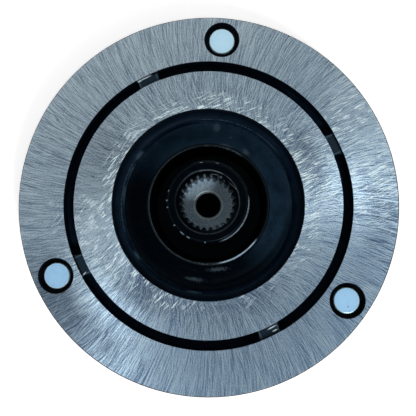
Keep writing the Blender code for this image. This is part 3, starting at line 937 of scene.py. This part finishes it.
@dataclass(frozen=True)
class BossSteel(Finish):
    """Black coat outside, bare machined steel at the bottom of the socket, nicked edges."""

    name: str = "splined_boss_steel"
    coat: Colour = (0.0001, 0.0006, 0.0018)
    dust: Colour = (0.020, 0.036, 0.050)
    bare: Colour = (0.58, 0.78, 0.92)
    stained: Colour = (0.33, 0.46, 0.56)
    cut: Colour = (0.80, 0.95, 1.0)
    nick: Colour = (0.26, 0.36, 0.43)
    # Colour of the painted highlights along the boss's rims.
    worn: Colour = (0.30, 0.40, 0.46)
    sheen_tint: Colour = (0.5, 0.78, 1.0)
    socket_edge: Pair = (7.5, 7.7)
    floor_edge: Pair = (10.6, 11.1)
    hole_edge: Pair = (9.5, 9.8)
    top_edge: Pair = (22.3, 22.6)
    hole_chamfer: Pair = (3.75, 4.15)
    outer_rim: float = 10.0
    mouth_rim: float = 8.75
    rim_rounding: float = 0.45
    roughness: float = 0.26
    bare_roughness: float = 0.5
    nicks: tuple[Mark, ...] = (
        Mark((3.5, 6.5, 23.0), 0.5, 0.35, -25.0), Mark((2.0, 7.2, 23.0), 1.3, 0.16, -12.0),
        Mark((6.6, 4.2, 23.2), 2.2, 0.09, -45.0), Mark((-10.6, 0.4, 23.2), 0.35, 0.3),
        Mark((-10.4, -1.4, 23.2), 0.3, 0.25), Mark((-10.1, 2.9, 23.2), 0.4, 0.2, 70.0),
        Mark((-8.6, -6.1, 23.2), 0.35, 0.25), Mark((-6.6, -8.1, 23.2), 0.9, 0.2, -40.0),
        Mark((-5.0, -9.2, 23.2), 0.6, 0.2, -30.0), Mark((-0.6, -10.5, 23.2), 0.3, 0.2),
        Mark((2.6, 10.1, 23.2), 0.5, 0.15, -12.0), Mark((-1.6, 10.3, 23.2), 0.5, 0.15, 8.0),
    )
    # Painted highlights along the boss's outer rim and the socket's mouth, brightest towards the key lamp.
    boss_rim_highlights: tuple[Arc, ...] = (
        Arc(10.55, 11.0, 22.7, -32.0, 44.0, 0.8, 0.5), Arc(10.5, 10.9, 22.7, 60.0, 60.0, 0.07, 0.8),
        Arc(8.15, 8.5, 22.3, 0.0, 181.0, 0.10, 0.6), Arc(8.05, 8.5, 22.0, 84.0, 26.0, 0.32, 0.6),
        Arc(8.1, 8.5, 22.0, 30.0, 30.0, 0.16, 0.6),
    )

    def paint(self, skin: Skin) -> None:
        """Lay the coat, the bare floor of the socket, the painted highlights along the rims, and the rounded
        edges.

        Args:
            skin: Material in the making.
        """
        inside = skin.ramp(skin.radius, *self.socket_edge, 1.0, 0.0)
        low = skin.ramp(skin.height, *self.floor_edge, 1.0, 0.0)
        floor = skin.times(inside, low, skin.ramp(skin.height, *self.hole_edge))
        mottle = skin.ramp(skin.noise(skin.point, 2.6, 3.0, 0.7), 0.38, 0.62)
        bare = skin.tint(mottle, self.stained, self.bare)
        bare = skin.tint(skin.band(skin.radius, *self.hole_chamfer, 0.08), bare, self.cut)
        film = skin.effect(EFFECTS.film(), Patch=2.0, Speck=0.4, Cover=0.5)
        dusty = skin.either(skin.times(film["Film"], 0.03), skin.times(film["Specks"], 0.12))
        colour = skin.tint(floor, skin.tint(dusty, self.coat, self.dust), bare)
        # Painted highlight: the rims are lightened in arcs.
        colour = skin.tint(skin.masks(self.boss_rim_highlights), colour, self.worn)
        top = skin.ramp(skin.height, *self.top_edge)
        nicks = skin.times(skin.masks(self.nicks), top)
        skin.show(
            Base_Color=skin.tint(nicks, colour, self.nick),
            Metallic=skin.times(skin.either(floor, nicks), 0.3),
            Roughness=skin.mix(floor, self.roughness, self.bare_roughness),
            Specular_IOR_Level=0.1,
            Specular_Tint=self.sheen_tint,
        )
        ripple = skin.effect(EFFECTS.ripple(), Size=0.5)[0]
        beyond = skin.past(skin.radius, self.outer_rim)
        within = skin.past(self.mouth_rim, skin.radius)
        rounding = skin.times(skin.total((beyond, beyond), (within, within)), top)
        lifted = skin.times(skin.band(skin.radius, *self.hole_chamfer, 0.05), skin.radius)
        skin.relief(skin.total(
            (ripple, 0.012), (nicks, -0.024), (rounding, -0.5 / self.rim_rounding), (lifted, -0.8),
        ))


def put(name: str, data: bpy.types.ID) -> bpy.types.Object:
    """Make an object and link it to the scene.

    Args:
        name: Name of the object.
        data: Its mesh, light or camera.

    Returns:
        The object.
    """
    item = bpy.data.objects.new(name, data)
    bpy.context.scene.collection.objects.link(item)
    return item


def new_piece(name: str, shape: bmesh.types.BMesh) -> bpy.types.Object:
    """Make a piece of a finished bmesh.

    Args:
        name: Name of the piece.
        shape: Its bmesh, which is freed.

    Returns:
        The piece, linked to the scene.
    """
    mesh = bpy.data.meshes.new(name)
    shape.to_mesh(mesh)
    shape.free()
    return put(name, mesh)


def bend(centre: Pair, radius: float, start: float, end: float, steps: int) -> list[Pair]:
    """Points of an arc in a section, both ends included."""
    angles = [math.radians(start + (end - start) * step / steps) for step in range(steps + 1)]
    return [(centre[0] + radius * math.cos(angle), centre[1] + radius * math.sin(angle)) for angle in angles]


def turned(name: str, profile: list[Pair], steps: int) -> bpy.types.Object:
    """Spin a closed profile into a turned piece.

    Args:
        name: Name of the piece.
        profile: Radius and height of each corner.
        steps: How many steps a full turn has.

    Returns:
        The piece, with its place in its mesh.
    """
    shape = bmesh.new()
    verts = [shape.verts.new((radius * MM, 0.0, height * MM)) for radius, height in profile]
    edges = [shape.edges.new(pair) for pair in zip(verts, verts[1:] + verts[:1])]
    bmesh.ops.spin(
        shape, geom=verts + edges, cent=(0.0, 0.0, 0.0), axis=(0.0, 0.0, 1.0),
        angle=2.0 * math.pi, steps=steps, use_merge=True, use_duplicate=False,
    )
    bmesh.ops.remove_doubles(shape, verts=shape.verts, dist=1e-7)
    bmesh.ops.recalc_face_normals(shape, faces=shape.faces)
    piece = new_piece(name, shape)
    piece.data.shade_smooth()
    piece.data.set_sharp_from_angle(angle=math.radians(SMOOTH_BELOW))
    return piece


@functools.cache
def smooth_shading_group(sharp_degrees: float = 28.0) -> bpy.types.NodeTree:
    """Modifier that merges a node's loose triangles and shades its round faces smooth.

    Args:
        sharp_degrees: Edges that turn by more than this stay sharp.

    Returns:
        The geometry node group.
    """
    sheet = Sheet(bpy.data.node_groups.new("smooth_round_faces", "GeometryNodeTree"))
    for side in ("INPUT", "OUTPUT"):
        sheet.tree.interface.new_socket("Geometry", in_out=side, socket_type="NodeSocketGeometry")
    source = sheet.node("NodeGroupInput")[0]
    merged = sheet.node("GeometryNodeMergeByDistance", {"Geometry": source, "Distance": 1e-6})[0]
    angle = sheet.node("GeometryNodeInputMeshEdgeAngle")["Unsigned Angle"]
    sharp = sheet.math("GREATER_THAN", angle, math.radians(sharp_degrees))
    inputs = {"Mesh": merged, "Remove Custom": True, "Edge Sharpness": sharp, "Face Sharpness": False}
    shaded = sheet.node("GeometryNodeSetMeshNormal", inputs, mode="SHARPNESS")[0]
    sheet.node("NodeGroupOutput", (shaded,))
    return sheet.tree


def dress_node(name: str, material: bpy.types.Material) -> None:
    """Give a carried-over node its finish and smooth shading.

    Args:
        name: Name of the node.
        material: Its new material.
    """
    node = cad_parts[name]
    for slot in node.material_slots:
        slot.material = material
    node.modifiers.new("smooth_round_faces", "NODES").node_group = smooth_shading_group()
    LOG.info("dressed %s with %s", name, material.name)


def place_piece(piece: bpy.types.Object, finish: Finish, body: Body, node: str) -> None:
    """Finish a new piece and hand it to the frame.

    Args:
        piece: The piece, with its place in its mesh.
        finish: Its finish.
        body: The group that it moves with.
        node: Node that it stands for.
    """
    piece.data.materials.append(finish.material())
    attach(piece, body.value)
    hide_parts(node)
    LOG.info("built %s, %d faces, on %s", piece.name, len(piece.data.polygons), body.value)


class Unit:
    """Sub-assembly of the clutch hub."""

    def build(self) -> None:
        """Build the new pieces, where there are any."""

    def dress(self) -> None:
        """Finish the pieces and hand them to the frame."""


@dataclass
class ArmatureUnit(Unit):
    """Ground armature plate on its three-eared drive plate, held by three rivets."""

    plate_marks: tuple[Mark | Arc, ...] = (
        Mark((-22.6, 3.5, 8.0), 0.5, 0.5), Mark((-21.5, 9.5, 8.0), 3.2, 0.9, 68.0, 1.4),
        Mark((-23.6, 3.0, 8.0), 4.2, 0.8, 88.0, 1.4), Mark((-19.6, 14.2, 8.0), 2.2, 0.8, 50.0, 1.4),
        Mark((-20.0, -14.0, 8.0), 2.0, 0.5, -55.0, 1.2), Mark((-4.0, -24.2, 8.5), 3.0, 0.4, -8.0, 1.2),
        Arc(24.3, 24.75, 4.0, 66.0, 34.0, 0.8, 0.8), Arc(23.7, 24.1, 4.0, 60.0, 45.0, 0.5, 0.9),
        Arc(24.2, 24.8, 4.0, 172.0, 32.0, 0.8, 0.8), Arc(23.7, 24.1, 4.0, 200.0, 60.0, 0.5, 0.8),
        Arc(24.9, 25.2, 4.0, 250.0, 80.0, 0.35, 0.7),
    )

    def dress(self) -> None:
        """Give the plates and rivets their finishes."""
        coat = BlackCoat(
            name="drive_plate_coat", coat=(0.0008, 0.0050, 0.0135), dust=(0.030, 0.058, 0.085),
            roughness=0.45, specular=0.08, marks=self.plate_marks,
        )
        dress_node("armature_plate", GroundSteel().material())
        dress_node("drive_plate", coat.material())
        plating = PlatedRivet().material()
        for name in ("rivet_1", "rivet_2", "rivet_3"):
            dress_node(name, plating)


@dataclass
class RubberDamper(Unit):
    """Moulded rubber ring, bonded to the cup inside and to the collar outside."""

    inner_radius: float = 17.02
    outer_radius: float = 23.68
    back_height: float = 12.2
    inner_lip: float = 0.12
    front_height: float = 2.2
    dish_depth: float = 4.45
    front_dish: float = 0.8
    front_slope: float = 0.3
    dish_steps: int = 22
    turn_steps: int = 160
    ring: bpy.types.Object = field(init=False)

    def profile(self) -> list[Pair]:
        """Outline of the section.

        Returns:
            Radius and height of each corner.
        """
        width = self.outer_radius - self.inner_radius
        slope = self.front_slope * width
        front_floor = self.front_height + self.front_dish
        inner_lip = (self.inner_radius, self.back_height + self.inner_lip)
        points = [(self.inner_radius, self.front_height), inner_lip]
        for step in range(1, self.dish_steps + 1):
            share = step / self.dish_steps
            sink = self.dish_depth * math.sin(math.pi / 2.0 * share)
            points.append((self.inner_radius + width * share, self.back_height - sink))
        points.append((self.outer_radius, self.front_height))
        points.append((self.outer_radius - slope, front_floor))
        points.append((self.inner_radius + slope, front_floor))
        return points

    def build(self) -> None:
        """Build the ring."""
        self.ring = turned("rubber_damper_ring", self.profile(), self.turn_steps)

    def dress(self) -> None:
        """Finish the ring and hand it to the frame."""
        place_piece(self.ring, DamperRubber(), Body.DAMPER, "rubber_ring")


@dataclass
class HubUnit(Unit):
    """Cup and splined boss that the shaft drives."""

    cup_inner: float = 15.6
    cup_outer: float = 17.0
    rim_height: float = 13.2
    floor_thickness: float = 1.9
    floor_hole: float = 8.62
    inner_bend: float = 0.9
    turn_steps: int = 160
    bend_steps: int = 10
    # Painted highlights on the cup's rim, brightest at the lower right.
    cup_rim_highlights: tuple[Arc, ...] = (
        Arc(16.05, 16.55, 12.8, 302.0, 24.0, 1.0, 0.3), Arc(16.1, 16.45, 12.8, 180.0, 95.0, 0.10, 0.5),
        Arc(15.9, 16.6, 12.8, 272.0, 16.0, 0.14, 1.0), Arc(16.0, 16.6, 12.8, 75.0, 22.0, 0.10, 0.9),
    )
    cup: bpy.types.Object = field(init=False)

    def cup_profile(self) -> list[Pair]:
        """Outline of the drawn cup's section.

        Returns:
            Radius and height of each corner.
        """
        nose = (self.cup_outer - self.cup_inner) / 2.0
        outer_bend = self.inner_bend + self.cup_outer - self.cup_inner
        foot = (self.cup_outer - outer_bend, outer_bend)
        rim = (self.cup_inner + nose, self.rim_height - nose)
        heel = (self.cup_inner - self.inner_bend, self.floor_thickness + self.inner_bend)
        points = [(self.floor_hole, 0.0)]
        points += bend(foot, outer_bend, -90.0, 0.0, self.bend_steps)
        points += bend(rim, nose, 0.0, 180.0, 2 * self.bend_steps)
        points += bend(heel, self.inner_bend, 0.0, -90.0, self.bend_steps)
        points.append((self.floor_hole, self.floor_thickness))
        return points

    def build(self) -> None:
        """Build the cup."""
        self.cup = turned("drawn_cup", self.cup_profile(), self.turn_steps)

    def dress(self) -> None:
        """Finish the cup and the boss."""
        # The cup's dust colour is the colour of its painted rim highlights; its dust film is almost nil.
        coat = BlackCoat(
            name="cup_coat", coat=(0.0003, 0.0005, 0.0004), dust=(0.34, 0.50, 0.64),
            roughness=0.2, specular=0.2, marks=self.cup_rim_highlights, dust_share=0.0005,
        )
        place_piece(self.cup, coat, Body.HUB, "hub_cup")
        dress_node("splined_boss", BossSteel().material())


@dataclass
class Studio:
    """Pale floor, soft light and the camera over the part."""

    friction_height: float = 14.5
    camera_distance: float = 185.3
    camera_tilt: float = 3.9
    camera_side: float = 1.0
    aim: Pair = (0.0, -1.04)
    lens: float = 58.8
    sensor: float = 36.0
    floor_size: float = 4000.0
    floor_drop: float = 0.02
    floor_pale: Colour = (0.93, 0.93, 0.93)
    floor_paler: Colour = (0.96, 0.96, 0.96)
    painted_floor_shadow: Colour = (0.01, 0.012, 0.014)
    floor_clear: Pair = (12.0, 50.0)
    floor_glow: float = 0.5
    overhead: Pair = (0.78, 0.985)
    sky_levels: Pair = (0.80, 0.08)
    key_azimuth: float = -62.0
    key_rise: float = 49.0
    key_distance: float = 1000.0
    key_size: float = 150.0
    key_watts: float = 3.6

    def floor(self) -> None:
        """Lay the pale floor that the nose rests on, painted dark under the part as a painted shadow."""
        shape = bmesh.new()
        bmesh.ops.create_grid(shape, x_segments=2, y_segments=2, size=self.floor_size * MM / 2.0)
        bmesh.ops.translate(shape, verts=shape.verts, vec=(0.0, 0.0, -self.floor_drop * MM))
        floor = new_piece("floor", shape)
        skin = Skin("floor_card")
        # Painted shadow: under the part the floor is dark and gives no glow, fading out across the
        # floor_clear radii.
        clear = skin.ramp(skin.radius, *self.floor_clear)
        card = skin.tint(skin.noise(skin.place, 60.0, 3.0, 0.6), self.floor_pale, self.floor_paler)
        rays = skin.node("ShaderNodeLightPath")
        seen = skin.either(rays["Is Camera Ray"], rays["Is Glossy Ray"], rays["Is Transmission Ray"])
        skin.show(
            Base_Color=skin.tint(clear, self.painted_floor_shadow, card),
            Roughness=0.9,
            Specular_IOR_Level=0.1,
            Emission_Color=(1.0, 1.0, 1.0),
            Emission_Strength=skin.times(seen, self.floor_glow, clear),
        )
        floor.data.materials.append(skin.material)

    def world(self) -> None:
        """Light from all round, dim straight overhead where the camera hides it."""
        world = bpy.data.worlds.new("studio")
        bpy.context.scene.world = world
        world.use_nodes = True
        sheet = Sheet(world.node_tree)
        _, _, up = sheet.split(sheet.node("ShaderNodeTexCoord")["Generated"])
        level = sheet.ramp(up, *self.overhead, *self.sky_levels)
        background = world.node_tree.nodes["Background"]
        sheet.feed(background.inputs["Color"], sheet.join(level, level, level))
        background.inputs["Strength"].default_value = 1.0

    def key_light(self) -> None:
        """Hang the soft key light that faces the part."""
        light = bpy.data.lights.new("key_card", "AREA")
        light.shape = "RECTANGLE"
        light.size = light.size_y = self.key_size * MM
        light.energy = self.key_watts
        turn, rise = math.radians(self.key_azimuth), math.radians(self.key_rise)
        place = Vector((math.cos(turn) * math.cos(rise), math.sin(turn) * math.cos(rise), math.sin(rise)))
        lamp = put("key_card", light)
        lamp.location = place * self.key_distance * MM
        lamp.rotation_mode = "QUATERNION"
        lamp.rotation_quaternion = (-place).to_track_quat("-Z", "Y")

    def camera(self) -> None:
        """Set the camera above the part, looking down on the friction face."""
        camera_data = bpy.data.cameras.new("camera")
        camera_data.lens = self.lens
        camera_data.sensor_width = self.sensor
        camera_data.clip_start = 0.01
        tilt, side = math.radians(self.camera_tilt), math.radians(self.camera_side)
        offset = Vector((math.sin(side), -math.sin(tilt), 0.0)) * self.camera_distance
        offset.z = math.sqrt(self.camera_distance**2 - offset.x**2 - offset.y**2)
        eye = (Vector((0.0, 0.0, self.friction_height)) + offset) * MM
        target = Vector((*self.aim, self.friction_height)) * MM
        back = (eye - target).normalized()
        right = Vector((0.0, 1.0, 0.0)).cross(back).normalized()
        rotation = Matrix((right, back.cross(right), back)).transposed().to_4x4()
        camera = put("camera", camera_data)
        camera.matrix_world = Matrix.Translation(eye) @ rotation
        bpy.context.scene.camera = camera
        bpy.context.scene.view_settings.view_transform = "Standard"

    def build(self) -> None:
        """Build the whole studio."""
        self.floor()
        self.world()
        self.key_light()
        self.camera()
        LOG.info("studio ready")


def main() -> None:
    """Build the looks in order."""
    logging.basicConfig(level=logging.INFO, format="%(name)s: %(message)s")
    for unit in (ArmatureUnit(), RubberDamper(), HubUnit()):
        unit.build()
        unit.dress()
    Studio().build()


if __name__ == "__main__":
    main()
